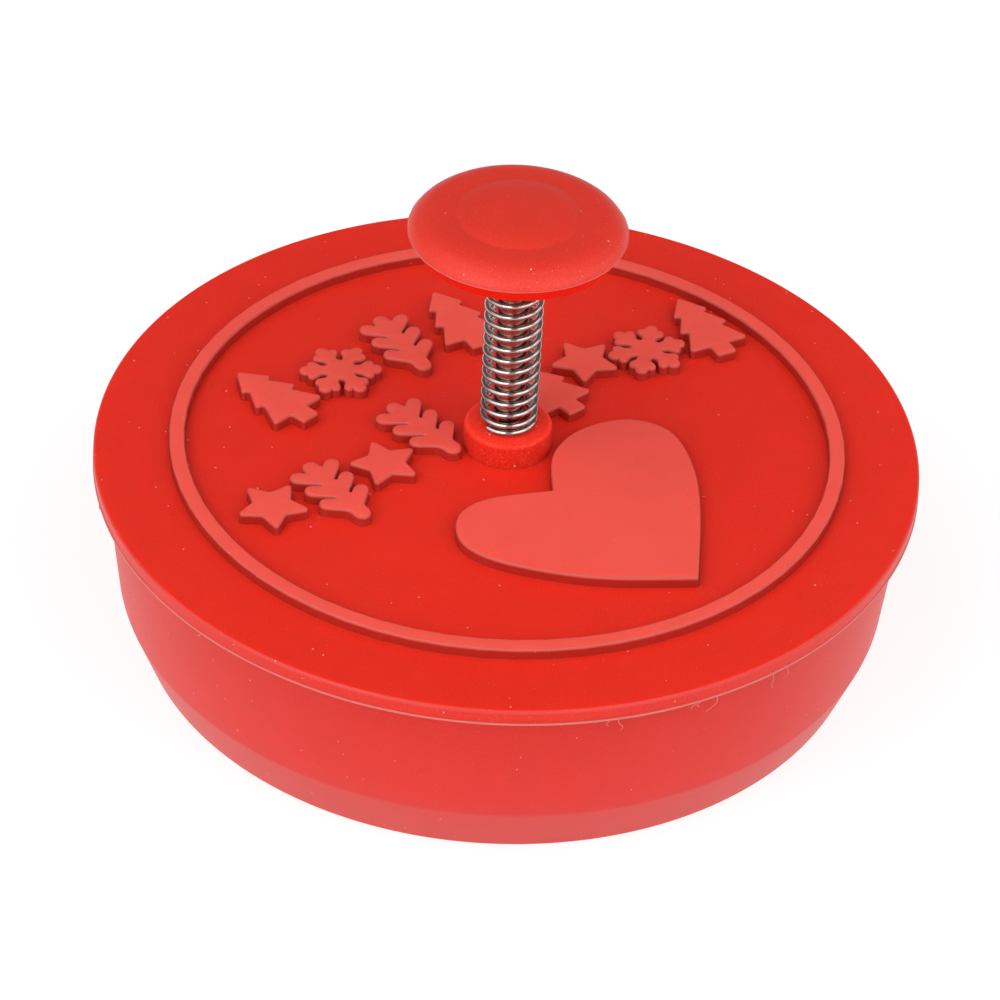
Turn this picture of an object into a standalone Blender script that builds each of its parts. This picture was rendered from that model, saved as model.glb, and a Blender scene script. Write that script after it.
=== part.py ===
"""Spring-loaded cookie press: a flanged round cover on a cutter ring, with a sprung plunger.

A steel rod slides and turns in a bush at the middle of the cover. A knob is screwed on its
upper end and a stamp plate is bolted to its lower end, inside the cutter ring. A compression
spring between the bush and the knob's washer holds the stamp plate up under the cover.

World frame: metres, +Z up, origin on the tool's axis in the plane of the cutting edge.
All lengths in this file are millimetres and are turned into metres by MM.
"""

import math

import bmesh
import bpy
from mathutils import Matrix, Vector
from mathutils.geometry import delaunay_2d_cdt

MM = 0.001
GAP = 0.3                      # clearance left between pieces that touch

# Cover and cutter ring
COVER_RADIUS = 50.0
COVER_TOP = 25.0               # height of the cover's flat top above the cutting edge
COVER_THICKNESS = 2.0
COVER_HOLE_RADIUS = 4.2
COVER_UNDERSIDE = COVER_TOP - COVER_THICKNESS
SPIGOT_OUTER_RADIUS = 45.6     # short wall under the cover that centres the cutter ring
SPIGOT_WALL = 1.5
SPIGOT_DEPTH = 4.6
RING_TOP_RADIUS = 48.7
CREASE_RADIUS = 47.2           # where the wall turns in towards the cutting edge
CREASE_HEIGHT = 6.8
EDGE_OUTER_RADIUS = 44.7
EDGE_WIDTH = 1.3
RING_WALL = 2.2

# Rod, bush and spring
ROD_RADIUS = 1.9
STUD_RADIUS = 1.4              # threaded ends of the rod
BUSH_RADIUS = 5.4
BUSH_HEIGHT = 3.3              # how far the bush stands above the cover
BUSH_SHANK_RADIUS = 3.9
BUSH_SHANK_END = 20.4
BUSH_TOP = COVER_TOP + BUSH_HEIGHT
NUT_THICKNESS = 2.0
NUT_ACROSS_CORNERS = 13.0
WIRE_RADIUS = 0.35
COIL_RADIUS = 3.2
END_PITCH = 1.05
END_TURNS = 1.25
ACTIVE_TURNS = 12.5
SPRING_SEAT_TOP = 51.2

# Knob and its fixing
KNOB_RADIUS = 12.9
KNOB_EDGE_HEIGHT = 56.1        # widest line of the knob above the cutting edge
KNOB_HUB_RADIUS = 4.7
KNOB_HUB_BOTTOM = 52.3
INSERT_RADIUS = 2.9
INSERT_TOP = 55.7
WASHER_RADIUS = 4.6
WASHER_THICKNESS = 0.5

# Stamp plate, hung inside the cutter ring
PLATE_RADIUS = 43.0
PLATE_FACE = 15.9              # underside of the plate at rest
PLATE_THICKNESS = 2.2
PLATE_HUB_RADIUS = 7.5
PLATE_HUB_TOP = 18.9
PLATE_RIM_TOP = 20.8
POCKET_RADIUS = 3.9            # counterbore that hides the nut in the plate's face
POCKET_DEPTH = 2.1
STAMP_RELIEF = 1.0

# Raised decoration
RELIEF_TOP = COVER_TOP + 1.4
BORDER_INNER_RADIUS = 39.1
BORDER_OUTER_RADIUS = 40.9
DESIGN_ANGLE = math.radians(37.0)
HEART_CENTRE = (13.3, -16.0)
HEART_ANGLE = math.radians(50.0)
NOTCH = (-0.9, 9.1)
TIP = (-1.5, -13.9)
RIGHT_LOBE = [(4.4, 13.8), (10.5, 14.8), (16.4, 11.9), (18.0, 6.5), (14.4, 0.0), (8.3, -6.1)]
LEFT_LOBE = [(-7.6, 13.6), (-12.4, 13.9), (-15.7, 10.6), (-15.8, 6.0), (-13.2, 0.0), (-8.9, -6.4)]

# Each motif: kind, place along and across the lines of the design, its own tilt in degrees
MOTIFS = [
    ("tree", -19.6, 21.6, 12), ("snowflake", -9.8, 21.8, 0),
    ("sprig", -0.2, 22.6, -4), ("tree", 8.6, 23.0, -6),
    ("star", -31.6, 3.4, 10), ("sprig", -23.6, 1.9, 2), ("star", -15.7, 3.2, -12),
    ("sprig", -7.9, 6.6, 8), ("tree", 9.4, 5.6, 6), ("star", 16.9, 7.4, 0),
    ("snowflake", 24.9, 5.2, 15), ("tree", 33.9, 5.4, -8),
]

COVER_RED = (0.70, 0.030, 0.018)
RELIEF_RED = (0.83, 0.10, 0.075)
STEEL = (0.62, 0.61, 0.60)
BRASS = (0.72, 0.50, 0.20)
RUBBER_BLACK = (0.03, 0.03, 0.03)


def clear_scene():
    for item in list(bpy.data.objects):
        bpy.data.objects.remove(item, do_unlink=True)


def make_material(name, colour, roughness, metallic=0.0):
    material = bpy.data.materials.new(name)
    material.use_nodes = True
    shader = material.node_tree.nodes["Principled BSDF"]
    shader.inputs["Base Color"].default_value = (*colour, 1.0)
    shader.inputs["Roughness"].default_value = roughness
    shader.inputs["Metallic"].default_value = metallic
    material.diffuse_color = (*colour, 1.0)
    return material


def add_object(name, mesh_or_curve, material, parent=None):
    piece = bpy.data.objects.new(name, mesh_or_curve)
    bpy.context.scene.collection.objects.link(piece)
    piece.data.materials.append(material)
    piece.parent = parent
    return piece


def finish_mesh(name, bm, sharp_degrees=35.0):
    bmesh.ops.recalc_face_normals(bm, faces=bm.faces[:])
    mesh = bpy.data.meshes.new(name)
    bm.to_mesh(mesh)
    bm.free()
    mesh.shade_smooth()
    mesh.set_sharp_from_angle(angle=math.radians(sharp_degrees))
    return mesh


def turned_mesh(name, profile, steps):
    """Spin a (radius, height) profile about Z; it is closed unless it starts on the axis."""
    bm = bmesh.new()
    verts = [bm.verts.new((radius * MM, 0.0, height * MM)) for radius, height in profile]
    pairs = list(zip(verts, verts[1:]))
    if profile[0][0] > 0.0:
        pairs.append((verts[-1], verts[0]))
    edges = [bm.edges.new(pair) for pair in pairs]
    bmesh.ops.spin(bm, geom=verts + edges, axis=(0, 0, 1), cent=(0, 0, 0),
                   angle=2 * math.pi, steps=steps, use_duplicate=False)
    bmesh.ops.remove_doubles(bm, verts=bm.verts[:], dist=1e-6)
    return finish_mesh(name, bm)


def merged_prism(name, polygons, low, high):
    """Extrude the union of flat polygons between two heights."""
    points = []
    faces = []
    for polygon in polygons:
        faces.append(list(range(len(points), len(points) + len(polygon))))
        points.extend(Vector(point) for point in polygon)
    coords, _, triangles, *_ = delaunay_2d_cdt(points, [], faces, 1, 1e-5)
    bm = bmesh.new()
    verts = [bm.verts.new((point.x * MM, point.y * MM, low * MM)) for point in coords]
    for triangle in triangles:
        bm.faces.new([verts[index] for index in triangle])
    bmesh.ops.dissolve_faces(bm, faces=bm.faces[:])
    loose = [vert for vert in bm.verts if not vert.link_faces]
    bmesh.ops.delete(bm, geom=loose, context="VERTS")
    bmesh.ops.dissolve_limit(bm, angle_limit=math.radians(1.0), verts=bm.verts[:],
                             edges=bm.edges[:])
    result = bmesh.ops.extrude_face_region(bm, geom=bm.faces[:])
    top = [item for item in result["geom"] if isinstance(item, bmesh.types.BMVert)]
    bmesh.ops.translate(bm, vec=(0, 0, (high - low) * MM), verts=top)
    bmesh.ops.triangulate(bm, faces=[face for face in bm.faces if len(face.verts) > 4])
    return finish_mesh(name, bm)


def hexagonal_nut_mesh(name, corner_radius, hole_radius, low, high):
    """A six-sided nut whose hole has four steps for each flat."""
    bm = bmesh.new()
    steps = 24
    outer_face_radius = corner_radius * math.cos(math.pi / 6)
    levels = []
    for height in (low, high):
        inner = []
        outer = []
        for step in range(steps):
            angle = 2 * math.pi * step / steps
            from_flat = (angle % (math.pi / 3)) - math.pi / 6
            reach = outer_face_radius / math.cos(from_flat)
            inner.append(bm.verts.new((hole_radius * MM * math.cos(angle),
                                       hole_radius * MM * math.sin(angle), height * MM)))
            outer.append(bm.verts.new((reach * MM * math.cos(angle),
                                       reach * MM * math.sin(angle), height * MM)))
        levels.append((inner, outer))
    (low_inner, low_outer), (high_inner, high_outer) = levels
    for step in range(steps):
        after = (step + 1) % steps
        for first, second in ((low_inner, low_outer), (low_outer, high_outer),
                              (high_outer, high_inner), (high_inner, low_inner)):
            bm.faces.new((first[step], first[after], second[after], second[step]))
    return finish_mesh(name, bm)


def capsule(start, end, width, end_steps=4):
    """Outline of a straight stroke with round ends."""
    start = Vector(start)
    end = Vector(end)
    heading = math.atan2(end.y - start.y, end.x - start.x)
    outline = []
    for centre, turn in ((end, -math.pi / 2), (start, math.pi / 2)):
        for step in range(end_steps + 1):
            angle = heading + turn + math.pi * step / end_steps
            outline.append(centre + Vector((math.cos(angle), math.sin(angle))) * width / 2)
    return outline


def tree_outline():
    right = [(0.0, 6.6), (2.5, 3.1), (1.5, 2.9), (3.4, -0.2), (2.3, -0.5), (4.1, -4.2),
             (1.3, -4.2), (1.3, -6.3)]
    left = [(-x, y) for x, y in reversed(right[1:])]
    return [right + left]


def star_outline():
    outline = []
    for step in range(10):
        reach = 4.6 if step % 2 == 0 else 2.4
        angle = math.pi / 2 + step * math.pi / 5
        outline.append((reach * math.cos(angle), reach * math.sin(angle)))
    return [outline]


def snowflake_outline():
    strokes = []
    for arm in range(6):
        angle = math.pi / 2 + arm * math.pi / 3
        along = Vector((math.cos(angle), math.sin(angle)))
        strokes.append(capsule((0, 0), along * 4.3, 1.7))
        for side in (-1, 1):
            barb = Vector((math.cos(angle + side * math.radians(50)),
                           math.sin(angle + side * math.radians(50))))
            strokes.append(capsule(along * 2.6, along * 2.6 + barb * 1.4, 1.3))
    return strokes


def sprig_outline():
    strokes = [capsule((0, -5.4), (0, 5.2), 2.1)]
    for height in (-2.6, 0.4, 3.4):
        for side in (-1, 1):
            strokes.append(capsule((0, height - 1.2), (side * 2.5, height + 1.0), 1.9))
    return strokes


OUTLINES = {"tree": tree_outline, "star": star_outline,
            "snowflake": snowflake_outline, "sprig": sprig_outline}


def smooth_through(points, steps=4):
    """Points on a smooth curve through the given points, without the last one."""
    padded = [points[0]] + points + [points[-1]]
    path = []
    for index in range(1, len(padded) - 2):
        before, start, end, after = (Vector(p) for p in padded[index - 1:index + 3])
        for step in range(steps):
            t = step / steps
            path.append(0.5 * (2 * start + (end - before) * t
                               + (2 * before - 5 * start + 4 * end - after) * t ** 2
                               + (3 * start - before - 3 * end + after) * t ** 3))
    return path


def heart_outline():
    right = smooth_through([NOTCH] + RIGHT_LOBE + [TIP])
    left = smooth_through([TIP] + LEFT_LOBE[::-1] + [NOTCH])
    return [right + left]


def placed(polygons, centre, angle):
    """Turn flat polygons by an angle and move them to a centre."""
    turn = Matrix.Rotation(angle, 2)
    return [[turn @ Vector(point) + Vector(centre) for point in polygon]
            for polygon in polygons]


def motif_polygons(kind, along, across, tilt):
    centre = Matrix.Rotation(DESIGN_ANGLE, 2) @ Vector((along, across))
    return placed(OUTLINES[kind](), centre, DESIGN_ANGLE + math.radians(tilt))


def make_cover(material):
    edge = [(COVER_RADIUS - 0.3, COVER_UNDERSIDE), (COVER_RADIUS, COVER_UNDERSIDE + 0.3),
            (COVER_RADIUS, COVER_TOP - 0.7), (COVER_RADIUS - 0.2, COVER_TOP - 0.2),
            (COVER_RADIUS - 0.7, COVER_TOP)]
    spigot_inner = SPIGOT_OUTER_RADIUS - SPIGOT_WALL
    profile = [(COVER_HOLE_RADIUS, COVER_UNDERSIDE), (spigot_inner, COVER_UNDERSIDE),
               (spigot_inner, COVER_UNDERSIDE - SPIGOT_DEPTH),
               (SPIGOT_OUTER_RADIUS, COVER_UNDERSIDE - SPIGOT_DEPTH),
               (SPIGOT_OUTER_RADIUS, COVER_UNDERSIDE)] + edge
    profile.append((COVER_HOLE_RADIUS, COVER_TOP))
    add_object("top_cover", turned_mesh("top_cover", profile, 64), material)


def make_cutter_ring(material):
    top = COVER_UNDERSIDE - GAP
    shoulder = COVER_UNDERSIDE - SPIGOT_DEPTH - GAP
    socket_radius = SPIGOT_OUTER_RADIUS + GAP
    profile = [(EDGE_OUTER_RADIUS, 0.0), (CREASE_RADIUS - 0.15, CREASE_HEIGHT - 0.6),
               (CREASE_RADIUS, CREASE_HEIGHT + 0.6), (RING_TOP_RADIUS, top),
               (socket_radius, top), (socket_radius, shoulder),
               (socket_radius - 0.9, shoulder),
               (CREASE_RADIUS - RING_WALL, CREASE_HEIGHT),
               (EDGE_OUTER_RADIUS - EDGE_WIDTH, 0.0)]
    add_object("cutter_ring", turned_mesh("cutter_ring", profile, 64), material)


def make_bush(material, nut_material):
    bore = ROD_RADIUS + GAP
    profile = [(bore, BUSH_SHANK_END), (BUSH_SHANK_RADIUS, BUSH_SHANK_END),
               (BUSH_SHANK_RADIUS, COVER_TOP + GAP), (BUSH_RADIUS, COVER_TOP + GAP),
               (BUSH_RADIUS - 0.1, BUSH_TOP - 0.5), (BUSH_RADIUS - 0.6, BUSH_TOP),
               (bore, BUSH_TOP)]
    add_object("guide_bush", turned_mesh("guide_bush", profile, 32), material)
    nut_top = COVER_UNDERSIDE - GAP
    nut = hexagonal_nut_mesh("bush_nut", NUT_ACROSS_CORNERS / 2, BUSH_SHANK_RADIUS + GAP,
                             nut_top - NUT_THICKNESS, nut_top)
    add_object("bush_nut", nut, nut_material)


def spring_points(steps_per_turn=16):
    """Wire centre line of a right-hand coil whose end turns are wound closer."""
    start = BUSH_TOP + GAP + WIRE_RADIUS
    end = SPRING_SEAT_TOP - WIRE_RADIUS
    turns = ACTIVE_TURNS + 2 * END_TURNS
    active_pitch = (end - start - 2 * END_TURNS * END_PITCH) / ACTIVE_TURNS
    points = []
    height = start
    count = round(turns * steps_per_turn)
    for step in range(count + 1):
        turn = step / steps_per_turn
        angle = 2 * math.pi * turn + math.radians(222)
        points.append((COIL_RADIUS * math.cos(angle), COIL_RADIUS * math.sin(angle), height))
        middle = turn + 0.5 / steps_per_turn
        in_end = middle < END_TURNS or middle > turns - END_TURNS
        height += (END_PITCH if in_end else active_pitch) / steps_per_turn
    return points


def make_spring(material):
    curve = bpy.data.curves.new("return_spring", "CURVE")
    curve.dimensions = "3D"
    curve.bevel_depth = WIRE_RADIUS * MM
    curve.bevel_resolution = 1
    curve.use_fill_caps = True
    points = spring_points()
    spline = curve.splines.new("POLY")
    spline.points.add(len(points) - 1)
    for slot, (x, y, z) in zip(spline.points, points):
        slot.co = (x * MM, y * MM, z * MM, 1.0)
    add_object("return_spring", curve, material)


def make_relief(material):
    base = COVER_TOP + GAP
    border = [(BORDER_INNER_RADIUS, base), (BORDER_OUTER_RADIUS, base),
              (BORDER_OUTER_RADIUS, RELIEF_TOP), (BORDER_INNER_RADIUS, RELIEF_TOP)]
    add_object("raised_border", turned_mesh("raised_border", border, 64), material)
    heart = placed(heart_outline(), HEART_CENTRE, HEART_ANGLE)
    add_object("raised_heart", merged_prism("raised_heart", heart, base, RELIEF_TOP), material)
    for number, motif in enumerate(MOTIFS, start=1):
        name = f"raised_{motif[0]}_{number:02d}"
        mesh = merged_prism(name, motif_polygons(*motif), base, RELIEF_TOP)
        add_object(name, mesh, material)


def make_axis(name, parent=None):
    axis = bpy.data.objects.new(name, None)
    bpy.context.scene.collection.objects.link(axis)
    axis.parent = parent
    return axis


def make_rod(material, axis):
    shoulder = PLATE_HUB_TOP + GAP
    hub_shoulder = KNOB_HUB_BOTTOM - GAP
    profile = [(0.0, PLATE_FACE), (STUD_RADIUS, PLATE_FACE), (STUD_RADIUS, shoulder),
               (ROD_RADIUS, shoulder), (ROD_RADIUS, hub_shoulder),
               (STUD_RADIUS, hub_shoulder), (STUD_RADIUS, INSERT_TOP - GAP),
               (0.0, INSERT_TOP - GAP)]
    add_object("plunger_rod", turned_mesh("plunger_rod", profile, 24), material, axis)


def make_knob(material, insert_material, axis):
    hub_hole = INSERT_RADIUS + GAP
    roof = INSERT_TOP + GAP
    edge = KNOB_EDGE_HEIGHT
    underside = [(hub_hole, KNOB_HUB_BOTTOM), (KNOB_HUB_RADIUS, KNOB_HUB_BOTTOM),
                 (KNOB_HUB_RADIUS + 0.2, edge - 1.0), (9.8, edge - 1.2), (10.6, edge - 2.0),
                 (11.5, edge - 2.1), (11.9, edge - 1.9), (KNOB_RADIUS - 0.2, edge - 0.2),
                 (KNOB_RADIUS, edge)]
    crown = [(12.7, edge + 0.4), (12.2, edge + 0.9), (11.4, edge + 1.4), (10.2, edge + 1.9),
             (8.8, edge + 2.2), (7.2, edge + 2.3), (5.4, edge + 2.6), (3.0, edge + 2.8),
             (0.0, edge + 2.9)]
    profile = [(0.0, roof), (hub_hole, roof)] + underside + crown
    add_object("knob", turned_mesh("knob", profile, 48), material, axis)
    bore = STUD_RADIUS + GAP
    insert = [(bore, KNOB_HUB_BOTTOM), (INSERT_RADIUS, KNOB_HUB_BOTTOM),
              (INSERT_RADIUS, INSERT_TOP), (bore, INSERT_TOP)]
    add_object("knob_insert", turned_mesh("knob_insert", insert, 24), insert_material, axis)


def make_flat_ring(name, inner, outer, low, high, material, axis):
    profile = [(inner, low), (outer, low), (outer, high), (inner, high)]
    add_object(name, turned_mesh(name, profile, 24), material, axis)


def mirrored(polygons):
    """The stamp's face carries the design turned over, so that it prints the right way."""
    return [[(-point[0], point[1]) for point in polygon][::-1] for polygon in polygons]


def add_cutter(name, mesh):
    cutter = bpy.data.objects.new(name, mesh)
    bpy.context.scene.collection.objects.link(cutter)
    cutter.hide_render = True
    cutter.display_type = "WIRE"
    return cutter


def make_stamp_plate(material, axis):
    top = PLATE_FACE + PLATE_THICKNESS
    bore = STUD_RADIUS + GAP
    pocket_roof = PLATE_FACE + POCKET_DEPTH
    profile = [(bore, pocket_roof), (POCKET_RADIUS, pocket_roof), (POCKET_RADIUS, PLATE_FACE),
               (BORDER_INNER_RADIUS, PLATE_FACE),
               (BORDER_INNER_RADIUS, PLATE_FACE - STAMP_RELIEF),
               (BORDER_OUTER_RADIUS, PLATE_FACE - STAMP_RELIEF),
               (BORDER_OUTER_RADIUS, PLATE_FACE), (PLATE_RADIUS - 0.4, PLATE_FACE),
               (PLATE_RADIUS, PLATE_FACE + 0.4), (PLATE_RADIUS, PLATE_RIM_TOP),
               (PLATE_RADIUS - 1.6, PLATE_RIM_TOP), (PLATE_RADIUS - 1.6, top),
               (PLATE_HUB_RADIUS, top), (PLATE_HUB_RADIUS - 0.4, PLATE_HUB_TOP),
               (bore, PLATE_HUB_TOP)]
    plate = add_object("stamp_plate", turned_mesh("stamp_plate", profile, 64), material, axis)
    shapes = [("heart", placed(heart_outline(), HEART_CENTRE, HEART_ANGLE))]
    for number, motif in enumerate(MOTIFS, start=1):
        shapes.append((f"{motif[0]}_{number:02d}", motif_polygons(*motif)))
    for name, polygons in shapes:
        mesh = merged_prism(f"stamp_{name}", mirrored(polygons),
                            PLATE_FACE - STAMP_RELIEF, PLATE_FACE + 0.6)
        modifier = plate.modifiers.new(name, "BOOLEAN")
        modifier.operation = "UNION"
        modifier.object = add_cutter(f"stamp_{name}_shape", mesh)


def make_plate_fixing(material, rubber, axis):
    bore = STUD_RADIUS + GAP
    washer_top = PLATE_FACE + POCKET_DEPTH - GAP
    washer_bottom = washer_top - 0.4
    make_flat_ring("plate_washer", bore, 3.5, washer_bottom, washer_top, material, axis)
    nut = hexagonal_nut_mesh("plate_nut", 3.1, bore, PLATE_FACE, washer_bottom - GAP)
    add_object("plate_nut", nut, material, axis)
    make_flat_ring("stop_washer", ROD_RADIUS + GAP, WASHER_RADIUS, PLATE_HUB_TOP + GAP,
                   BUSH_SHANK_END - GAP, rubber, axis)


def build():
    clear_scene()
    red = make_material("red_plastic", COVER_RED, 0.42)
    bush_red = make_material("bush_plastic", COVER_RED, 0.38)
    relief_red = make_material("relief_plastic", RELIEF_RED, 0.45)
    stamp_red = make_material("stamp_plastic", COVER_RED, 0.45)
    knob_red = make_material("knob_plastic", COVER_RED, 0.5)
    steel = make_material("steel", STEEL, 0.2, 1.0)
    wire = make_material("spring_wire", STEEL, 0.16, 1.0)
    brass = make_material("brass", BRASS, 0.3, 1.0)
    rubber = make_material("rubber", RUBBER_BLACK, 0.8)
    make_cover(red)
    make_cutter_ring(red)
    make_bush(bush_red, steel)
    make_spring(wire)
    make_relief(relief_red)
    slide_axis = make_axis("slide_axis")
    make_flat_ring("spring_washer", ROD_RADIUS + GAP, WASHER_RADIUS,
                   SPRING_SEAT_TOP + GAP, SPRING_SEAT_TOP + GAP + WASHER_THICKNESS,
                   steel, slide_axis)
    spin_axis = make_axis("spin_axis", slide_axis)
    make_rod(steel, spin_axis)
    make_knob(knob_red, brass, spin_axis)
    make_stamp_plate(stamp_red, spin_axis)
    make_plate_fixing(steel, rubber, spin_axis)


build()
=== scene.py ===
"""The looks of a spring-loaded cookie press: moulded red plastic, raised design, steel spring.

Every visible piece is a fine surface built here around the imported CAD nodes. Lengths in this
file are millimetres, turned into metres by MM; heights are above the cutting edge.
"""

import math
import random

import bmesh
import bpy
from mathutils import Matrix, Vector


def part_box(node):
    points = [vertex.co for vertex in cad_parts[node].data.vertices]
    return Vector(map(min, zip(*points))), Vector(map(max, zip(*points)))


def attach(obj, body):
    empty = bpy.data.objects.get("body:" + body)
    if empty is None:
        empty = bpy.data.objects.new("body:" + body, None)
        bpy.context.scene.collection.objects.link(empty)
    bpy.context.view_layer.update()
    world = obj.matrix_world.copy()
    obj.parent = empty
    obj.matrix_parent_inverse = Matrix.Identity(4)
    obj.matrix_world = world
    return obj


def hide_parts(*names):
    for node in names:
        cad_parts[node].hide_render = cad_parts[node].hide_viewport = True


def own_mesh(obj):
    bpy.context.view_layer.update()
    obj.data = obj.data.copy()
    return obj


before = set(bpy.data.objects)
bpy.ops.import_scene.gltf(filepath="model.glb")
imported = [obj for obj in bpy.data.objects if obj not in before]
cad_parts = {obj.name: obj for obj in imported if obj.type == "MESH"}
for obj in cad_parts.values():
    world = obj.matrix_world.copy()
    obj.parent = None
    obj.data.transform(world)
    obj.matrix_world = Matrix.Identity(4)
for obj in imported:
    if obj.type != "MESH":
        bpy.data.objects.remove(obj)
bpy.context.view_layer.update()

MM = 0.001


def radius_of(node):
    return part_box(node)[1].x / MM


def bottom_of(node):
    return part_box(node)[0].z / MM


def top_of(node):
    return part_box(node)[1].z / MM


# Driving sizes, read from the frame
COVER_TOP = top_of("top_cover")
COVER_RADIUS = radius_of("top_cover")
RELIEF_TOP = top_of("raised_heart")
RING_TOP_RADIUS = radius_of("cutter_ring")
BUSH_TOP = top_of("guide_bush")
BUSH_RADIUS = radius_of("guide_bush")
SHANK_END = bottom_of("guide_bush")
WASHER_LOW = bottom_of("spring_washer")
WASHER_RADIUS = radius_of("spring_washer")
KNOB_RADIUS = radius_of("knob")
HUB_BOTTOM = bottom_of("knob")
INSERT_TOP = top_of("knob_insert")
INSERT_RADIUS = radius_of("knob_insert")
DISC_RADIUS = radius_of("stamp_plate")
DISC_RELIEF = bottom_of("stamp_plate")
DISC_RIM_TOP = top_of("stamp_plate")
ROD_RADIUS = radius_of("plunger_rod")

# Sizes that the fine surfaces add
COVER_THICKNESS = 2.0
COVER_UNDERSIDE = COVER_TOP - COVER_THICKNESS
SPIGOT_OUTER = 45.6
SPIGOT_WALL = 1.5
SPIGOT_DEPTH = 4.6
COVER_HOLE_RADIUS = 4.2
SHANK_RADIUS = 3.9
BUSH_NUT_REACH = 5.63          # from the axis to a flat of the nut
PLATE_NUT_REACH = 2.68
PLATE_WASHER_RADIUS = 3.5
CREASE_RADIUS = 47.2
CREASE_HEIGHT = 6.8
EDGE_RADIUS = 44.7
EDGE_WIDTH = 1.3
RING_WALL = 2.2
KNOB_EDGE = 56.1
STUD_RADIUS = 1.4
WIRE_RADIUS = 0.35
COIL_RADIUS = 3.2
END_PITCH = 1.05
END_TURNS = 1.25
ACTIVE_TURNS = 12.5
SPRING_START = math.radians(222)
DISC_FACE = DISC_RELIEF + 1.0
DISC_THICKNESS = 2.2
DISC_RIM_WIDTH = 1.6
HUB_RADIUS = 7.5
HUB_TOP = 18.9
POCKET_RADIUS = 3.9
POCKET_DEPTH = 2.1
SEATED = 0.02                  # how far a piece that rests on another sinks into it
RELIEF_CORNER = 0.35           # rounding of the raised shapes' corners, seen from above
RELIEF_EDGE_WIDTH = 0.14       # the softened upper edge of a raised shape
RELIEF_EDGE_HEIGHT = 0.26

# Limits that decide how a mesh is shaded and how an outline is smoothed
SHARP_ANGLE = math.radians(40)
STRAIGHT_TURN = math.radians(0.5)
CURVE_TURN = math.radians(52)
CURVE_RADIUS = 1000.0          # larger than any edge allows, so the rounding takes all it may
ROUNDING_SHARE = 0.48          # the most of an edge that the rounding at one end may take

# Camera, aimed from the front of the press
CAMERA_ELEVATION = math.radians(36.9)
CAMERA_DISTANCE = 502.5
CAMERA_LENS = 149.2
CAMERA_SENSOR = 36.0
CAMERA_PAN = math.radians(-0.06)
CAMERA_TILT = math.radians(-0.8)
CAMERA_ROLL = math.radians(2.87)

# Studio light, as brightness beside a white of 1
LEFT_GLOW = 1.5
LEFT_DIRECTION = (-0.41, -0.49, 0.77)
RIGHT_GLOW = 0.75
RIGHT_DIRECTION = (0.50, -0.50, 0.71)
GAP_GLOW = 0.1                 # share of the light left in the dark gap behind the camera
FRONT_GLOW = 0.2
HORIZON_GLOW = 0.6
BACK_GLOW = 0.18
FLOOR_GLOW = 0.80

FLOOR_REACH = 3.0              # metres from the middle of the floor to its sides
FLOOR_DROP = 0.0002            # metres that the floor lies below the cutting edge

# Panel lights: name, place, width and height in metres, power in watts
PANELS = [("left_panel", (-0.32, -0.48, 0.42), 0.34, 0.16, 0.75),
          ("right_panel", (0.42, -0.40, 0.42), 0.46, 0.16, 0.6),
          ("side_panel", (0.53, 0.08, 0.30), 0.30, 0.12, 0.26)]

COVER_RED = (0.78, 0.018, 0.005)
# The cover's rim wall is painted darker than its top as painted shade; a paler band on the rounded
# top edge is a painted highlight.
RIM_PAINTED_SHADE = (0.66, 0.010, 0.001)
COVER_EDGE_PAINTED_HIGHLIGHT = (0.61, 0.042, 0.031)
# The boss's top is painted brighter, as painted light where the knob shades it, and its wall
# darker, as painted shade.
BOSS_TOP_PAINTED_LIGHT = (0.97, 0.026, 0.006)
BOSS_WALL_PAINTED_SHADE = (0.70, 0.015, 0.001)
KNOB_RED = (0.71, 0.025, 0.009)
# Brighter, more saturated red under the knob's rim: a painted glow for light through the thin rim
# and red light bounced from the cover.
UNDERSIDE_PAINTED_GLOW = (0.78, 0.010, 0.002)
RELIEF_RED = (0.87, 0.092, 0.067)
# The skirt's colour by height: paler low down as a painted reflection of the white floor, darker
# and redder under the rim as painted shade.
SKIRT_PAINTED_SHADE_AND_REFLECTION = [(0.0, (0.58, 0.045, 0.036)), (6.0, (0.60, 0.034, 0.027)),
                (9.0, (0.64, 0.022, 0.014)), (22.0, (0.60, 0.011, 0.003))]
# Relief walls are painted dark as painted shade, with a paler band near the top as a painted
# highlight on the softened edge.
RELIEF_WALL_PAINTED_SHADE = (0.40, 0.014, 0.006)
RELIEF_EDGE_PAINTED_HIGHLIGHT = (0.59, 0.105, 0.083)
FLASH_PINK = (0.60, 0.15, 0.135)
WIRE_STEEL = (0.52, 0.51, 0.49)
# The rod's dark red-brown tint is a painted reflection of the red plastic and dim surroundings
# around it.
ROD_STEEL_PAINTED_REFLECTION = (0.38, 0.26, 0.22)
STEEL = (0.70, 0.69, 0.67)
BRASS = (0.75, 0.52, 0.22)
RUBBER = (0.025, 0.025, 0.027)


# ---------------------------------------------------------------- materials

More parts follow.
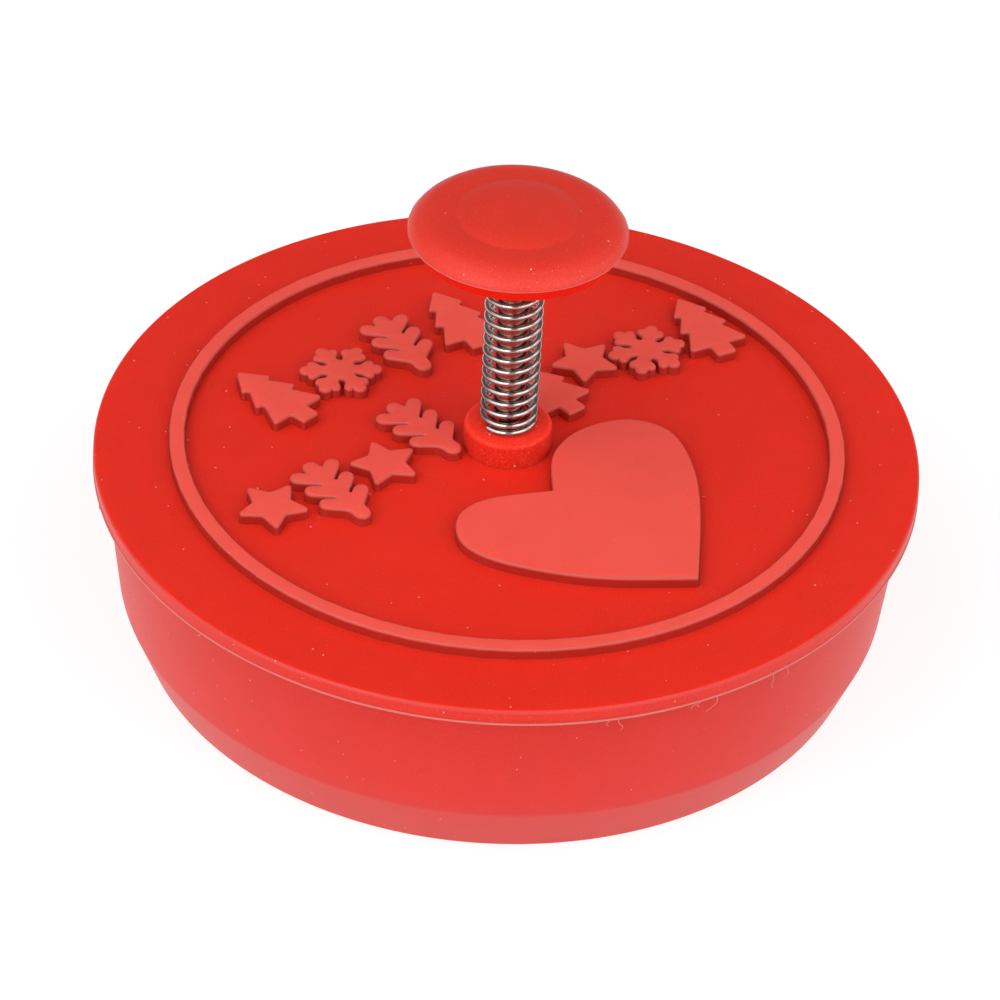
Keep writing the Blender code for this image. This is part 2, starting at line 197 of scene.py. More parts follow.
class Shading:
    """A Principled material and short ways to add nodes to it."""

    def __init__(self, name, colour, roughness, metallic=0.0):
        self.material = bpy.data.materials.new(name)
        self.material.use_nodes = True
        self.tree = self.material.node_tree
        self.shader = self.tree.nodes["Principled BSDF"]
        self.set(self.shader, "Base Color", (*colour, 1.0))
        self.set(self.shader, "Roughness", roughness)
        self.set(self.shader, "Metallic", metallic)
        self.place = self.node("TexCoord").outputs["Object"]

    def node(self, kind, **inputs):
        node = self.tree.nodes.new("ShaderNode" + kind)
        for name, value in inputs.items():
            self.set(node, name.replace("_", " "), value)
        return node

    def feed(self, socket, value):
        if isinstance(value, bpy.types.NodeSocket):
            self.tree.links.new(value, socket)
        else:
            socket.default_value = value

    def set(self, node, name, value):
        self.feed(node.inputs[name], value)

    def noise(self, size_mm, detail=2.0, stretch=None):
        place = self.place
        if stretch:
            place = self.node("Mapping", Vector=place, Scale=stretch).outputs[0]
        noise = self.node("TexNoise", Vector=place, Scale=1 / (size_mm * MM), Detail=detail)
        return noise.outputs["Fac"]

    def remap(self, value, low, high, to_low, to_high, smooth=False):
        node = self.node("MapRange", Value=value)
        node.interpolation_type = "SMOOTHSTEP" if smooth else "LINEAR"
        for name, number in (("From Min", low), ("From Max", high),
                             ("To Min", to_low), ("To Max", to_high)):
            node.inputs[name].default_value = number
        return node.outputs["Result"]

    def mix(self, factor, first, second):
        node = self.tree.nodes.new("ShaderNodeMix")
        node.data_type = "RGBA"
        for index, value in ((0, factor), (6, first), (7, second)):
            self.feed(node.inputs[index], value)
        return node.outputs[2]

    def times(self, first, second):
        node = self.tree.nodes.new("ShaderNodeMath")
        node.operation = "MULTIPLY"
        self.feed(node.inputs[0], first)
        self.feed(node.inputs[1], second)
        return node.outputs[0]

    def specks(self, spacing_mm, size_mm):
        """Scattered dots: 1 inside a dot, 0 elsewhere."""
        cells = self.node("TexVoronoi", Vector=self.place, Scale=1 / (spacing_mm * MM))
        reach = size_mm / spacing_mm
        return self.remap(cells.outputs["Distance"], reach * 0.4, reach, 1.0, 0.0, True)

    def bump(self, height, depth_mm, strength=1.0, below=None):
        node = self.node("Bump", Height=height, Strength=strength, Distance=depth_mm * MM)
        if below:
            self.tree.links.new(below, node.inputs["Normal"])
        self.set(self.shader, "Normal", node.outputs["Normal"])
        return node.outputs["Normal"]


def plastic(name, colour, roughness, dust=0.5, glow=0.5, gloss=0.28, depth=1.6, shades=None):
    """Satin moulded plastic: faint mottling, fine grain, dust specks and some light inside.
    The shades are (height, colour) pairs that take the place of the colour, from low to high, and
    paint light and shade by height."""
    look = Shading(name, colour, roughness)
    pale = (*colour, 1.0)
    if shades:
        height = look.node("SeparateXYZ", Vector=look.place).outputs["Z"]
        pale = (*shades[0][1], 1.0)
        for (low, _), (high, shade) in zip(shades, shades[1:]):
            share = look.remap(height, low * MM, high * MM, 0.0, 1.0)
            pale = look.mix(share, pale, (*shade, 1.0))
    mottling = look.remap(look.noise(5.0, 5.0), 0.35, 0.65, 0.0, 0.04)
    base = look.mix(mottling, pale, (0.1, 0.002, 0.001, 1.0))
    grain = look.noise(0.16, 2.0)
    dots = look.specks(2.3, 0.14)
    fine_dots = look.specks(0.8, 0.085)
    dusty = look.mix(look.times(dots, dust), base, (0.86, 0.50, 0.47, 1.0))
    dusty = look.mix(look.times(fine_dots, dust * 0.45), dusty, (0.86, 0.30, 0.27, 1.0))
    haze = look.remap(grain, 0.45, 0.75, 0.0, 0.05 * dust)
    look.set(look.shader, "Base Color", look.mix(haze, dusty, (0.95, 0.60, 0.56, 1.0)))
    look.set(look.shader, "Roughness", look.remap(grain, 0.3, 0.7, roughness - 0.05,
                                                  roughness + 0.06))
    wavy = look.bump(look.noise(14.0, 1.0), 0.05)
    look.bump(grain, 0.004, 0.8, below=wavy)
    look.set(look.shader, "Subsurface Weight", glow)
    look.set(look.shader, "Subsurface Radius", (1.0, 0.09, 0.05))
    look.set(look.shader, "Subsurface Scale", depth * MM)
    look.set(look.shader, "Specular IOR Level", gloss)
    return look.material


def metal(name, colour, roughness, stretch):
    """Bright metal with fine drawing marks along one direction."""
    look = Shading(name, colour, roughness, 1.0)
    marks = look.noise(0.35, 3.0, stretch)
    stains = look.remap(look.noise(1.6, 3.0), 0.4, 0.7, 0.0, 1.0)
    dull = tuple(c * 0.82 for c in colour) + (1.0,)
    look.set(look.shader, "Base Color", look.mix(stains, (*colour, 1.0), dull))
    look.set(look.shader, "Roughness", look.remap(marks, 0.3, 0.7, roughness * 0.7,
                                                  roughness * 1.5))
    look.bump(marks, 0.002, 0.5)
    return look.material


def rubber(name):
    look = Shading(name, RUBBER, 0.75)
    grain = look.noise(0.2, 3.0)
    grey = tuple(c * 1.8 for c in RUBBER) + (1.0,)
    look.set(look.shader, "Base Color", look.mix(grain, (*RUBBER, 1.0), grey))
    look.set(look.shader, "Roughness", look.remap(grain, 0.3, 0.7, 0.65, 0.9))
    look.bump(grain, 0.01)
    return look.material


# ---------------------------------------------------------------- meshes

def finish_mesh(name, bm):
    bmesh.ops.recalc_face_normals(bm, faces=bm.faces[:])
    mesh = bpy.data.meshes.new(name)
    bm.to_mesh(mesh)
    bm.free()
    mesh.shade_smooth()
    mesh.set_sharp_from_angle(angle=SHARP_ANGLE)
    return mesh


def rounded(corners, closed=True, step_degrees=12.0):
    """Round the corners of a path. A corner is (x, y), which stays sharp, or (x, y, radius).
    A radius too large for the edges beside it is cut down to end just short of mid-edge."""
    count = len(corners)
    path = []
    for index, corner in enumerate(corners):
        here = Vector(corner[:2])
        radius = corner[2] if len(corner) > 2 else 0.0
        at_end = not closed and index in (0, count - 1)
        if at_end or radius == 0.0:
            path.append(here)
            continue
        before = Vector(corners[index - 1][:2])
        after = Vector(corners[(index + 1) % count][:2])
        incoming = (here - before).normalized()
        outgoing = (after - here).normalized()
        turn = incoming.angle_signed(outgoing, 0.0)
        if abs(turn) < 1e-4:
            path.append(here)
            continue
        tangent = radius * math.tan(abs(turn) / 2)
        limit = ROUNDING_SHARE * min((here - before).length, (after - here).length)
        tangent = min(tangent, limit)
        radius = tangent / math.tan(abs(turn) / 2)
        start = here - incoming * tangent
        side = Vector((-incoming.y, incoming.x)) * (-radius if turn > 0 else radius)
        centre = start + side
        steps = max(1, math.ceil(math.degrees(abs(turn)) / step_degrees))
        for step in range(steps + 1):
            swing = Matrix.Rotation(-turn * step / steps, 2)
            path.append(centre + swing @ (start - centre))
    return path


def turned(name, corners, steps=192, closed=True):
    """Spin a path of (radius, height, rounding) corners about the axis of the press."""
    bm = bmesh.new()
    path = rounded(corners, closed)
    verts = [bm.verts.new((max(point.x, 0.0) * MM, 0.0, point.y * MM)) for point in path]
    pairs = list(zip(verts, verts[1:]))
    if closed:
        pairs.append((verts[-1], verts[0]))
    edges = [bm.edges.new(pair) for pair in pairs]
    bmesh.ops.spin(bm, geom=verts + edges, axis=(0, 0, 1), cent=(0, 0, 0),
                   angle=2 * math.pi, steps=steps, use_duplicate=False)
    bmesh.ops.remove_doubles(bm, verts=bm.verts[:], dist=1e-6)
    return finish_mesh(name, bm)


def add_skin(bm, rings, wrap=False):
    """One surface through a row of rings of points; open ends are capped."""
    loops = [[bm.verts.new(Vector(point) * MM) for point in ring] for ring in rings]
    pairs = list(zip(loops, loops[1:]))
    if wrap:
        pairs.append((loops[-1], loops[0]))
    else:
        bm.faces.new(loops[0])
        bm.faces.new(loops[-1])
    for first, second in pairs:
        for index in range(len(first)):
            after = (index + 1) % len(first)
            bm.faces.new((first[index], first[after], second[after], second[index]))


def skin(name, rings, wrap=False):
    bm = bmesh.new()
    add_skin(bm, rings, wrap)
    return finish_mesh(name, bm)


def tube_rings(path, radii, sides=16):
    """Circles of points around a path of 3-D points, square to it."""
    rings = []
    for index, centre in enumerate(path):
        ahead = path[min(index + 1, len(path) - 1)]
        behind = path[max(index - 1, 0)]
        along = (ahead - behind).normalized()
        across = along.cross(Vector((0, 0, 1))).normalized()
        upright = across.cross(along)
        rings.append([centre + radii[index] * (math.cos(angle) * across
                                               + math.sin(angle) * upright)
                      for angle in (2 * math.pi * side / sides for side in range(sides))])
    return rings


def flat_outlines(node, height_mm, facing):
    """Closed outlines of a CAD node's flat faces at one height, each with the solid on the
    left as seen from above and its leftmost point first."""
    bm = bmesh.new()
    bm.from_mesh(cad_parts[node].data)
    bmesh.ops.remove_doubles(bm, verts=bm.verts[:], dist=1e-6)
    flat = [face for face in bm.faces
            if face.normal.z * facing > 0.99
            and abs(face.calc_center_median().z / MM - height_mm) < 0.01]
    following = {}
    for face in flat:
        for corner in face.loops:
            others = [other for other in corner.edge.link_faces if other in flat]
            if len(others) == 1:
                start, end = corner.vert, corner.link_loop_next.vert
                if facing < 0:
                    start, end = end, start
                following[start] = end
    outlines = []
    while following:
        start = min(following, key=lambda vert: (vert.co.x, vert.co.y))
        vert = following.pop(start)
        outline = [start.co.xy / MM]
        while vert is not start:
            outline.append(vert.co.xy / MM)
            vert = following.pop(vert)
        outlines.append(outline)
    bm.free()
    return outlines


def tidy_outline(outline):
    """Drop points on straight runs, round the corners and bend shallow turns into curves."""
    kept = []
    count = len(outline)
    for index, here in enumerate(outline):
        before = outline[index - 1]
        after = outline[(index + 1) % count]
        turn = abs((here - before).angle_signed(after - here, 0.0))
        if turn > STRAIGHT_TURN:
            kept.append((here, turn))
    corners = []
    for here, turn in kept:
        radius = CURVE_RADIUS if turn < CURVE_TURN else RELIEF_CORNER
        corners.append((here.x, here.y, radius))
    return rounded(corners, step_degrees=6.0)


def moved_in(outline, distance):
    """The outline moved towards its solid side by a distance."""
    result = []
    count = len(outline)
    for index, here in enumerate(outline):
        first = (here - outline[index - 1])
        second = (outline[(index + 1) % count] - here)
        if first.length < 1e-9:
            first = here - outline[index - 2]
        if second.length < 1e-9:
            second = outline[(index + 2) % count] - here
        normal_in = Vector((-first.y, first.x)).normalized()
        normal_out = Vector((-second.y, second.x)).normalized()
        middle = normal_in + normal_out
        middle = middle / max(0.5, 1.0 + normal_in.dot(normal_out))
        result.append(here + middle * distance)
    return result


def relief_mesh(name, outlines, base, top):
    """Raised shape with a softened upper edge, slight draft and a small fillet at its foot. It
    points up or down, as top is above or below base. Its flat top uses the second material."""
    rise = 1.0 if top > base else -1.0
    height = abs(top - base)
    steps = 4
    levels = [(-0.10, -0.12), (-0.10, 0.02), (-0.05, 0.10),
              (-0.01, height - RELIEF_EDGE_HEIGHT)]
    for step in range(1, steps + 1):
        angle = math.pi / 2 * step / steps
        levels.append((RELIEF_EDGE_WIDTH * (1 - math.cos(angle)),
                       height - RELIEF_EDGE_HEIGHT * (1 - math.sin(angle))))
    bm = bmesh.new()
    top_edges = []
    base_edges = []
    for outline in outlines:
        smooth = tidy_outline(outline)
        rows = [[bm.verts.new((point.x * MM, point.y * MM, (base + rise * level) * MM))
                 for point in moved_in(smooth, inset)] for inset, level in levels]
        for lower, upper in zip(rows, rows[1:]):
            for index in range(len(lower)):
                after = (index + 1) % len(lower)
                bm.faces.new((lower[index], lower[after], upper[after], upper[index]))
        for row, edges in ((rows[0], base_edges), (rows[-1], top_edges)):
            edges.extend(bm.edges.get((row[index - 1], row[index])) for index in range(len(row)))
    for edges, material_index in ((base_edges, 0), (top_edges, 1)):
        filled = bmesh.ops.triangle_fill(bm, use_beauty=True, edges=edges)
        for face in filled["geom"]:
            if isinstance(face, bmesh.types.BMFace):
                face.material_index = material_index
    bmesh.ops.remove_doubles(bm, verts=bm.verts[:], dist=1e-6)
    return finish_mesh(name, bm)


def nut_mesh(name, flats_reach, hole, low, high):
    """Six-sided nut with its corners turned down at both ends and a chamfered hole."""
    steps = 72
    chamfer = 0.25
    slope = math.tan(math.radians(30))
    rows = []
    for step in range(steps):
        angle = 2 * math.pi * step / steps
        from_flat = (angle % (math.pi / 3)) - math.pi / 6
        reach = flats_reach / math.cos(from_flat)
        drop = max(0.0, (reach - flats_reach * 0.98)) * slope
        section = [(hole + chamfer, low), (flats_reach * 0.96, low), (reach, low + drop),
                   (reach, high - drop), (flats_reach * 0.96, high), (hole + chamfer, high),
                   (hole, high - chamfer), (hole, low + chamfer)]
        rows.append([(radius * math.cos(angle), radius * math.sin(angle), height)
                     for radius, height in section])
    return skin(name, rows, wrap=True)


# ---------------------------------------------------------------- pieces

def add_piece(mesh, materials, body, slot, *nodes, even_normals=True):
    piece = bpy.data.objects.new(mesh.name, mesh)
    bpy.context.scene.collection.objects.link(piece)
    for material in materials:
        mesh.materials.append(material)
    if even_normals:
        modifier = piece.modifiers.new("even_normals", "WEIGHTED_NORMAL")
        modifier.keep_sharp = True
        modifier.weight = 100
    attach(piece, body)
    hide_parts(*nodes)
    return piece


def make_cover(red):
    spigot_inner = SPIGOT_OUTER - SPIGOT_WALL
    spigot_end = COVER_UNDERSIDE - SPIGOT_DEPTH
    corners = [(COVER_HOLE_RADIUS, COVER_UNDERSIDE, 0.2),
               (spigot_inner, COVER_UNDERSIDE, 0.6),
               (spigot_inner, spigot_end, 0.4), (SPIGOT_OUTER, spigot_end, 0.4),
               (SPIGOT_OUTER, COVER_UNDERSIDE, 0.3),
               (COVER_RADIUS - 0.04, COVER_UNDERSIDE, 0.06),
               (COVER_RADIUS, COVER_TOP - 0.9), (COVER_RADIUS, COVER_TOP, 0.38),
               (COVER_HOLE_RADIUS, COVER_TOP, 0.2)]
    add_piece(turned("flanged_cover", corners, 256), [red], "housing", "cover_red", "top_cover")


def make_cutter(red):
    top = COVER_UNDERSIDE + SEATED
    shoulder = COVER_UNDERSIDE - SPIGOT_DEPTH - 0.1
    socket = SPIGOT_OUTER + 0.1
    corners = [(EDGE_RADIUS, 0.0, 0.45), (CREASE_RADIUS, CREASE_HEIGHT, 2.5),
               (RING_TOP_RADIUS, top), (socket, top), (socket, shoulder, 0.3),
               (socket - 0.9, shoulder, 0.3), (CREASE_RADIUS - RING_WALL, CREASE_HEIGHT, 8.0),
               (EDGE_RADIUS - EDGE_WIDTH, 0.0, 0.45)]
    add_piece(turned("cutter_wall", corners, 256), [red], "housing", "cover_red", "cutter_ring")


def make_bush(red, steel):
    bore = ROD_RADIUS + 0.3
    corners = [(bore, SHANK_END, 0.2), (SHANK_RADIUS, SHANK_END, 0.4),
               (SHANK_RADIUS, COVER_TOP - SEATED),
               (BUSH_RADIUS + 0.06, COVER_TOP - SEATED), (BUSH_RADIUS, COVER_TOP + 0.2, 0.3),
               (BUSH_RADIUS - 0.08, BUSH_TOP, 0.6), (bore + 0.6, BUSH_TOP, 0.2),
               (bore, BUSH_TOP - 0.7, 0.3)]
    add_piece(turned("guide_boss", corners, 128), [red], "housing", "bush_red", "guide_bush")
    nut = nut_mesh("boss_nut", BUSH_NUT_REACH, SHANK_RADIUS + 0.05, bottom_of("bush_nut"),
                   COVER_UNDERSIDE + SEATED)
    add_piece(nut, [steel], "housing", "steel", "bush_nut")


def make_spring(steel):
    """Right-hand coil, closed at both ends, from the boss up to the washer."""
    per_turn = 36
    start = BUSH_TOP + WIRE_RADIUS - SEATED
    end = WASHER_LOW - WIRE_RADIUS + SEATED
    turns = ACTIVE_TURNS + 2 * END_TURNS
    active_pitch = (end - start - 2 * END_TURNS * END_PITCH) / ACTIVE_TURNS
    height = start
    path = []
    for step in range(round(turns * per_turn) + 1):
        turn = step / per_turn
        angle = SPRING_START + 2 * math.pi * turn
        path.append(Vector((COIL_RADIUS * math.cos(angle), COIL_RADIUS * math.sin(angle),
                            height)))
        from_end = min(turn, turns - turn)
        share = min(1.0, max(0.0, (from_end - END_TURNS + 0.25) / 0.5))
        height += (END_PITCH + (active_pitch - END_PITCH) * share) / per_turn
    stretch = (end - start) / (path[-1].z - start)
    for point in path:
        point.z = start + (point.z - start) * stretch
    mesh = skin("coil_spring", tube_rings(path, [WIRE_RADIUS] * len(path)))
    spring = add_piece(mesh, [steel], "housing", "spring_wire", "return_spring",
                       even_normals=False)
    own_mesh(spring)


def make_relief(red, light_red):
    for node in sorted(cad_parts):
        if not node.startswith("raised_"):
            continue
        outlines = flat_outlines(node, RELIEF_TOP, 1)
        # The walls take the first material, painted shade with a painted highlight near the top;
        # the flat tops take the second.
        mesh = relief_mesh(node.replace("raised_", "relief_"), outlines, COVER_TOP, RELIEF_TOP)
        add_piece(mesh, [red, light_red], "housing", "relief_red", node)


def ragged_wave(draw, waves):
    """A function of angle that wanders about zero, for the torn edge of moulding flash."""
    phases = [(draw.uniform(0, 2 * math.pi), wave, 1.0 / wave ** 0.6) for wave in waves]
    return lambda angle: sum(size * math.sin(wave * angle + phase)
                             for phase, wave, size in phases)


def make_knob(red, underside_painted_glow, flash, brass):
    edge = KNOB_EDGE
    hole = INSERT_RADIUS + 0.05
    corners = [(0.0, INSERT_TOP + 0.05), (hole, INSERT_TOP + 0.05, 0.2),
               (hole, HUB_BOTTOM, 0.15), (4.7, HUB_BOTTOM, 0.3), (4.9, edge - 1.0, 0.5),
               (9.8, edge - 1.2, 0.8), (10.9, edge - 2.1, 1.2), (11.9, edge - 1.9, 0.5),
               (KNOB_RADIUS - 0.2, edge - 0.2), (KNOB_RADIUS, edge, 0.15),
               (12.75, edge + 0.35, 2.0), (12.35, edge + 0.9, 2.0), (11.7, edge + 1.42, 3.0),
               (10.9, edge + 1.84, 3.0), (9.9, edge + 2.06, 4.0), (8.7, edge + 2.16, 4.0),
               (7.4, edge + 2.13, 0.4), (6.6, edge + 2.40, 1.2), (5.6, edge + 2.60, 4.0),
               (3.9, edge + 2.76, 8.0), (2.0, edge + 2.83, 8.0), (0.0, edge + 2.85)]
    mesh = turned("press_knob", corners, 160, closed=False)
    add_piece(mesh, [red, underside_painted_glow], "plunger", "knob_red", "knob")
    # Faces under the rim, outside the hub, take the second material, the painted glow.
    for face in mesh.polygons:
        centre = face.center / MM
        under_edge = centre.z < edge - 0.02
        outside_hub = math.hypot(centre.x, centre.y) > 5.5
        if under_edge and outside_hub:
            face.material_index = 1
    rings = []
    ragged = ragged_wave(random.Random(7), (3, 7, 13, 23, 41, 67))
    for step in range(360):
        angle = 2 * math.pi * step / 360
        strength = 0.75 + 0.25 * math.cos(angle - math.radians(235))
        reach = KNOB_RADIUS + (0.08 + 0.06 * ragged(angle)) * strength
        section = [(KNOB_RADIUS - 0.2, edge + 0.07), (KNOB_RADIUS - 0.2, edge - 0.07),
                   (reach, edge - 0.02), (reach, edge + 0.02)]
        rings.append([(radius * math.cos(angle), radius * math.sin(angle), height)
                      for radius, height in section])
    add_piece(skin("knob_parting_flash", rings, wrap=True), [flash], "plunger", "knob_red")
    bore = STUD_RADIUS + 0.05
    insert = [(bore, HUB_BOTTOM, 0.1), (INSERT_RADIUS, HUB_BOTTOM, 0.15),
              (INSERT_RADIUS, INSERT_TOP, 0.2), (bore, INSERT_TOP, 0.1)]
    add_piece(turned("threaded_insert", insert, 64), [brass], "plunger", "brass", "knob_insert")


def make_rod(steel):
    low = bottom_of("plunger_rod")
    high = top_of("plunger_rod")
    corners = [(0.0, low), (STUD_RADIUS, low, 0.25), (STUD_RADIUS, HUB_TOP),
               (ROD_RADIUS, HUB_TOP, 0.15), (ROD_RADIUS, HUB_BOTTOM, 0.15),
               (STUD_RADIUS, HUB_BOTTOM), (STUD_RADIUS, high, 0.25), (0.0, high)]
    add_piece(turned("steel_rod", corners, 96, closed=False), [steel], "plunger", "rod_steel",
              "plunger_rod")


def washer(name, inner, outer, low, high, rounding=0.12):
    corners = [(inner, low, rounding), (outer, low, rounding), (outer, high, rounding),
               (inner, high, rounding)]
    return turned(name, corners, 96)


def make_stamp(red, steel, black):
    top = DISC_FACE + DISC_THICKNESS
    bore = STUD_RADIUS + 0.1
    rim_inner = DISC_RADIUS - DISC_RIM_WIDTH
    roof = DISC_FACE + POCKET_DEPTH
    corners = [(bore, roof, 0.1), (POCKET_RADIUS, roof, 0.2), (POCKET_RADIUS, DISC_FACE, 0.2),
               (DISC_RADIUS, DISC_FACE, 0.6), (DISC_RADIUS, DISC_RIM_TOP, 0.5),
               (rim_inner, DISC_RIM_TOP, 0.5), (rim_inner, top, 0.8),
               (HUB_RADIUS, top, 0.6), (HUB_RADIUS - 0.4, HUB_TOP, 0.3),
               (bore, HUB_TOP, 0.15)]
    add_piece(turned("stamp_disc", corners, 256), [red], "plunger", "stamp_red", "stamp_plate")
    outlines = flat_outlines("stamp_plate", DISC_RELIEF, -1)
    design = relief_mesh("stamp_design", outlines, DISC_FACE, DISC_RELIEF)
    add_piece(design, [red, red], "plunger", "stamp_red")
    washer_low = bottom_of("plate_washer")
    add_piece(washer("disc_washer", STUD_RADIUS + 0.2, PLATE_WASHER_RADIUS, washer_low,
                     roof + SEATED), [steel], "plunger", "steel", "plate_washer")
    nut = nut_mesh("disc_nut", PLATE_NUT_REACH, STUD_RADIUS + 0.02, bottom_of("plate_nut"),
                   washer_low + SEATED)
    add_piece(nut, [steel], "plunger", "steel", "plate_nut")
    add_piece(washer("rubber_stop", ROD_RADIUS + 0.1, radius_of("stop_washer"),
                     HUB_TOP - SEATED, top_of("stop_washer"), 0.25),
              [black], "plunger", "rubber", "stop_washer")


def make_spring_seat(steel):
    mesh = washer("spring_seat", ROD_RADIUS + 0.15, WASHER_RADIUS, WASHER_LOW,
                  HUB_BOTTOM - 0.05)
    add_piece(mesh, [steel], "slider", "steel", "spring_washer")


def make_rim_flash(flash):
    """The ragged line of moulding flash under the cover's rim."""
    draw = random.Random(11)
    ragged = ragged_wave(draw, (5, 11, 19, 37, 71, 113))
    rings = []
    steps = 720
    for step in range(steps):
        angle = 2 * math.pi * step / steps
        wander = ragged(angle)
        reach = COVER_RADIUS + 0.07 + 0.02 * wander
        section = [(COVER_RADIUS - 0.3, COVER_UNDERSIDE + 0.3),
                   (COVER_RADIUS - 0.3, COVER_UNDERSIDE - 0.01),
                   (reach - 0.03, COVER_UNDERSIDE - 0.04 - 0.03 * wander),
                   (reach, COVER_UNDERSIDE + 0.07), (reach - 0.05, COVER_UNDERSIDE + 0.2)]
        rings.append([(radius * math.cos(angle), radius * math.sin(angle), height)
                      for radius, height in section])
    add_piece(skin("rim_parting_flash", rings, wrap=True), [flash], "housing", "cover_red")
    make_flash_hairs(flash, draw)


def make_flash_hairs(flash, draw):
    """Thin curled hairs that hang from the rim's flash."""
    bm = bmesh.new()
    for degrees in (285, 286.5, 297, 297.5, 300.5, 309, 312, 227, 196):
        angle = math.radians(degrees)
        outward = Vector((math.cos(angle), math.sin(angle), 0.0))
        sideways = Vector((-outward.y, outward.x, 0.0))
        length = draw.uniform(1.2, 3.2)
        drift = draw.uniform(-0.35, 0.35)
        path = []
        for step in range(9):
            share = step / 8
            curl = 0.22 * math.sin(6 * share + degrees)
            path.append(outward * (COVER_RADIUS + 0.05 - 0.8 * share * share)
                        + sideways * (drift * length * share + curl)
                        + Vector((0, 0, COVER_UNDERSIDE + 0.05 - length * share)))
        add_skin(bm, tube_rings(path, [0.06 - 0.003 * step for step in range(9)], 6))
    add_piece(finish_mesh("rim_flash_hairs", bm), [flash], "housing", "cover_red")


# ---------------------------------------------------------------- studio

def make_floor():
    bm = bmesh.new()
    corners = [(x * FLOOR_REACH, y * FLOOR_REACH) for x, y in ((-1, -1), (1, -1), (1, 1), (-1, 1))]
    bm.faces.new([bm.verts.new((x, y, -FLOOR_DROP)) for x, y in corners])
    mesh = finish_mesh("studio_floor", bm)
    floor = bpy.data.objects.new("studio_floor", mesh)
    bpy.context.scene.collection.objects.link(floor)
    look = Shading("floor_white", (0.25, 0.25, 0.25), 0.9)
    look.set(look.shader, "Emission Color", (1.0, 1.0, 1.0, 1.0))
    look.set(look.shader, "Emission Strength", FLOOR_GLOW)
    look.set(look.shader, "Specular IOR Level", 0.1)
    mesh.materials.append(look.material)


def make_world():
    """Studio surroundings: wide glows from the upper front left and right with a dark gap
    between them, dim behind, and a pale horizon."""
    world = bpy.data.worlds.new("studio")
    bpy.context.scene.world = world
    world.use_nodes = True
    tree = world.node_tree
    link = tree.links.new

    def node(kind, operation=None, **values):
        item = tree.nodes.new("ShaderNode" + kind)
        if operation:
            item.operation = operation
        for key, value in values.items():
            item.inputs[key.replace("_", " ")].default_value = value
        return item

    def ramp(source, low, high, to_low, to_high):
        item = node("MapRange", From_Min=low, From_Max=high, To_Min=to_low, To_Max=to_high)
        item.interpolation_type = "SMOOTHSTEP"
        link(source, item.inputs["Value"])
        return item.outputs["Result"]

    def joined(operation, first, second):
        item = node("Math", operation)
        link(first, item.inputs[0])
        link(second, item.inputs[1])
        return item.outputs[0]

    def lobe(aim, strength):
        facing = node("VectorMath", "DOT_PRODUCT")
        link(sight, facing.inputs[0])
        facing.inputs[1].default_value = Vector(aim).normalized()
        return ramp(facing.outputs["Value"], 0.45, 0.95, 0.0, strength)

    sight = node("TexCoord").outputs["Generated"]
    direction = node("SeparateXYZ")
    link(sight, direction.inputs[0])
    front = ramp(direction.outputs["Y"], -0.75, 0.35, FRONT_GLOW, 0.0)
    pale_side = ramp(direction.outputs["X"], -0.8, 0.8, 0.7, 0.85)
    horizon = joined("MULTIPLY", pale_side,
                     ramp(direction.outputs["Z"], 0.05, 0.45, HORIZON_GLOW, BACK_GLOW))
    sideways = node("Math", "ABSOLUTE")
    link(direction.outputs["X"], sideways.inputs[0])
    beside_gap = ramp(sideways.outputs[0], 0.10, 0.26, GAP_GLOW, 1.0)
    sides = joined("ADD", lobe(LEFT_DIRECTION, LEFT_GLOW), lobe(RIGHT_DIRECTION, RIGHT_GLOW))
    lit = joined("MULTIPLY", joined("ADD", front, sides), beside_gap)
    glow = joined("ADD", lit, horizon)
    seen = node("Mix")
    link(node("LightPath").outputs["Is Camera Ray"], seen.inputs[0])
    link(glow, seen.inputs[2])
    seen.inputs[3].default_value = 1.0
    background = tree.nodes["Background"]
    background.inputs["Color"].default_value = (1.0, 1.0, 1.0, 1.0)
    link(seen.outputs[0], background.inputs["Strength"])


def make_panel_light(name, place, width, height, watts):
    light = bpy.data.lights.new(name, "AREA")
    light.shape = "RECTANGLE"
    light.size = width
    light.size_y = height
    light.energy = watts
    lamp = bpy.data.objects.new(name, light)
    bpy.context.scene.collection.objects.link(lamp)
    lamp.location = place
    target = Vector((0, 0, COVER_TOP * MM))
    lamp.rotation_euler = (target - lamp.location).to_track_quat("-Z", "Y").to_euler()


def make_camera():
    camera = bpy.data.objects.new("camera", bpy.data.cameras.new("camera"))
    bpy.context.scene.collection.objects.link(camera)
    bpy.context.scene.camera = camera
    camera.data.lens = CAMERA_LENS
    camera.data.sensor_width = CAMERA_SENSOR
    camera.data.clip_start = 0.01
    sight = Vector((0, math.cos(CAMERA_ELEVATION), -math.sin(CAMERA_ELEVATION)))
    across = Vector((1, 0, 0))
    up = across.cross(sight)
    location = Vector((0, 0, COVER_TOP * MM)) - sight * CAMERA_DISTANCE * MM
    aim = (sight + across * math.tan(CAMERA_PAN) + up * math.tan(CAMERA_TILT)).normalized()
    across = aim.cross(Vector((0, 0, 1))).normalized()
    up = across.cross(aim)
    roll = Matrix.Rotation(CAMERA_ROLL, 3, -aim)
    columns = Matrix((roll @ across, roll @ up, -aim)).transposed()
    camera.matrix_world = Matrix.Translation(location) @ columns.to_4x4()


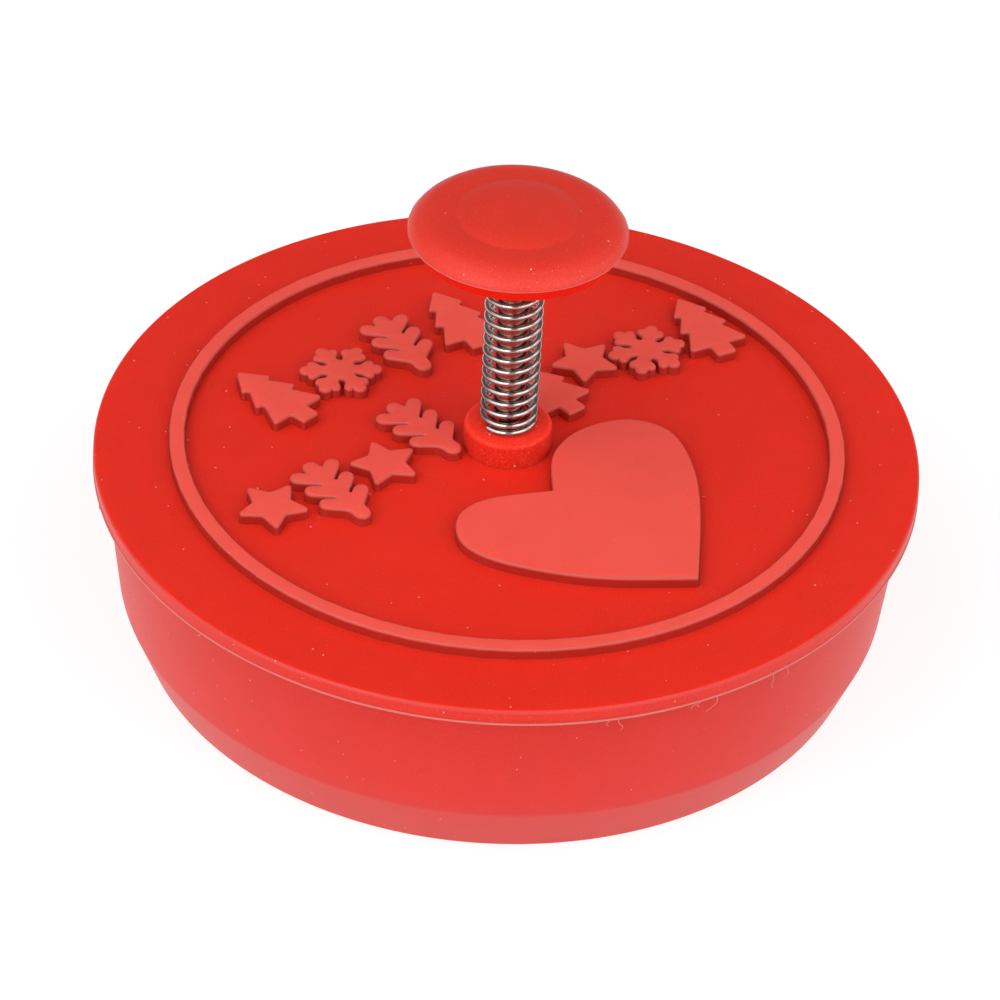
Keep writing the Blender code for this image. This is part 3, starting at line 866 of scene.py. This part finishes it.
def build():
    # The cover's colour changes by height: painted shade on the rim wall and a painted highlight
    # on the rounded top edge.
    red = plastic("cover_plastic_painted_rim_light", COVER_RED, 0.40, dust=0.8, gloss=0.32, shades=[
        (COVER_TOP - 0.50, RIM_PAINTED_SHADE), (COVER_TOP - 0.32, COVER_EDGE_PAINTED_HIGHLIGHT),
        (COVER_TOP - 0.12, COVER_EDGE_PAINTED_HIGHLIGHT), (COVER_TOP - 0.02, COVER_RED)])
    # The skirt carries painted floor reflection low down and painted shade under the rim.
    skirt_painted_shading = plastic("skirt_plastic_painted_shading", COVER_RED, 0.42, gloss=0.25, shades=SKIRT_PAINTED_SHADE_AND_REFLECTION)
    # The boss's colour by height: painted shade on the wall, painted light on the top.
    boss_painted_light = plastic("boss_plastic_painted_light", BOSS_TOP_PAINTED_LIGHT, 0.42, dust=2.0, gloss=0.18, depth=2.5,
                       shades=[(BUSH_TOP - 0.5, BOSS_WALL_PAINTED_SHADE), (BUSH_TOP - 0.1, BOSS_TOP_PAINTED_LIGHT)])
    light_red = plastic("relief_plastic", RELIEF_RED, 0.45, dust=0.25)
    # Relief walls: painted shade, with a painted highlight band near the top.
    relief_wall_painted = plastic("relief_wall_plastic_painted_shade", RELIEF_WALL_PAINTED_SHADE, 0.45, dust=0.3, glow=0.2,
                       shades=[(RELIEF_TOP - 0.45, RELIEF_WALL_PAINTED_SHADE), (RELIEF_TOP - 0.25, RELIEF_EDGE_PAINTED_HIGHLIGHT)])
    knob_red = plastic("knob_plastic", KNOB_RED, 0.46, dust=1.2, gloss=0.36)
    # The knob's underside is a painted glow of light through the rim and bounced from the cover.
    underside_painted_glow = plastic("knob_underside_painted_glow", UNDERSIDE_PAINTED_GLOW, 0.55, gloss=0.05)
    stamp_red = plastic("stamp_plastic", COVER_RED, 0.42, dust=0.3)
    flash = plastic("flash_plastic", FLASH_PINK, 0.5, dust=0.0)
    steel = metal("turned_steel", STEEL, 0.22, (1.0, 1.0, 6.0))
    # The rod's colour holds a painted reflection of the red plastic around it.
    rod_steel = metal("rod_steel", ROD_STEEL_PAINTED_REFLECTION, 0.12, (1.0, 1.0, 6.0))
    wire = metal("spring_wire", WIRE_STEEL, 0.055, (1.0, 1.0, 4.0))
    brass = metal("brass", BRASS, 0.3, (1.0, 1.0, 6.0))
    make_cover(red)
    make_cutter(skirt_painted_shading)
    make_bush(boss_painted_light, steel)
    make_spring(wire)
    make_relief(relief_wall_painted, light_red)
    make_spring_seat(steel)
    make_rod(rod_steel)
    make_knob(knob_red, underside_painted_glow, flash, brass)
    make_stamp(stamp_red, steel, rubber("rubber"))
    make_rim_flash(flash)
    make_floor()
    make_world()
    for panel in PANELS:
        make_panel_light(*panel)
    make_camera()
    bpy.context.scene.view_settings.view_transform = "Standard"


build()
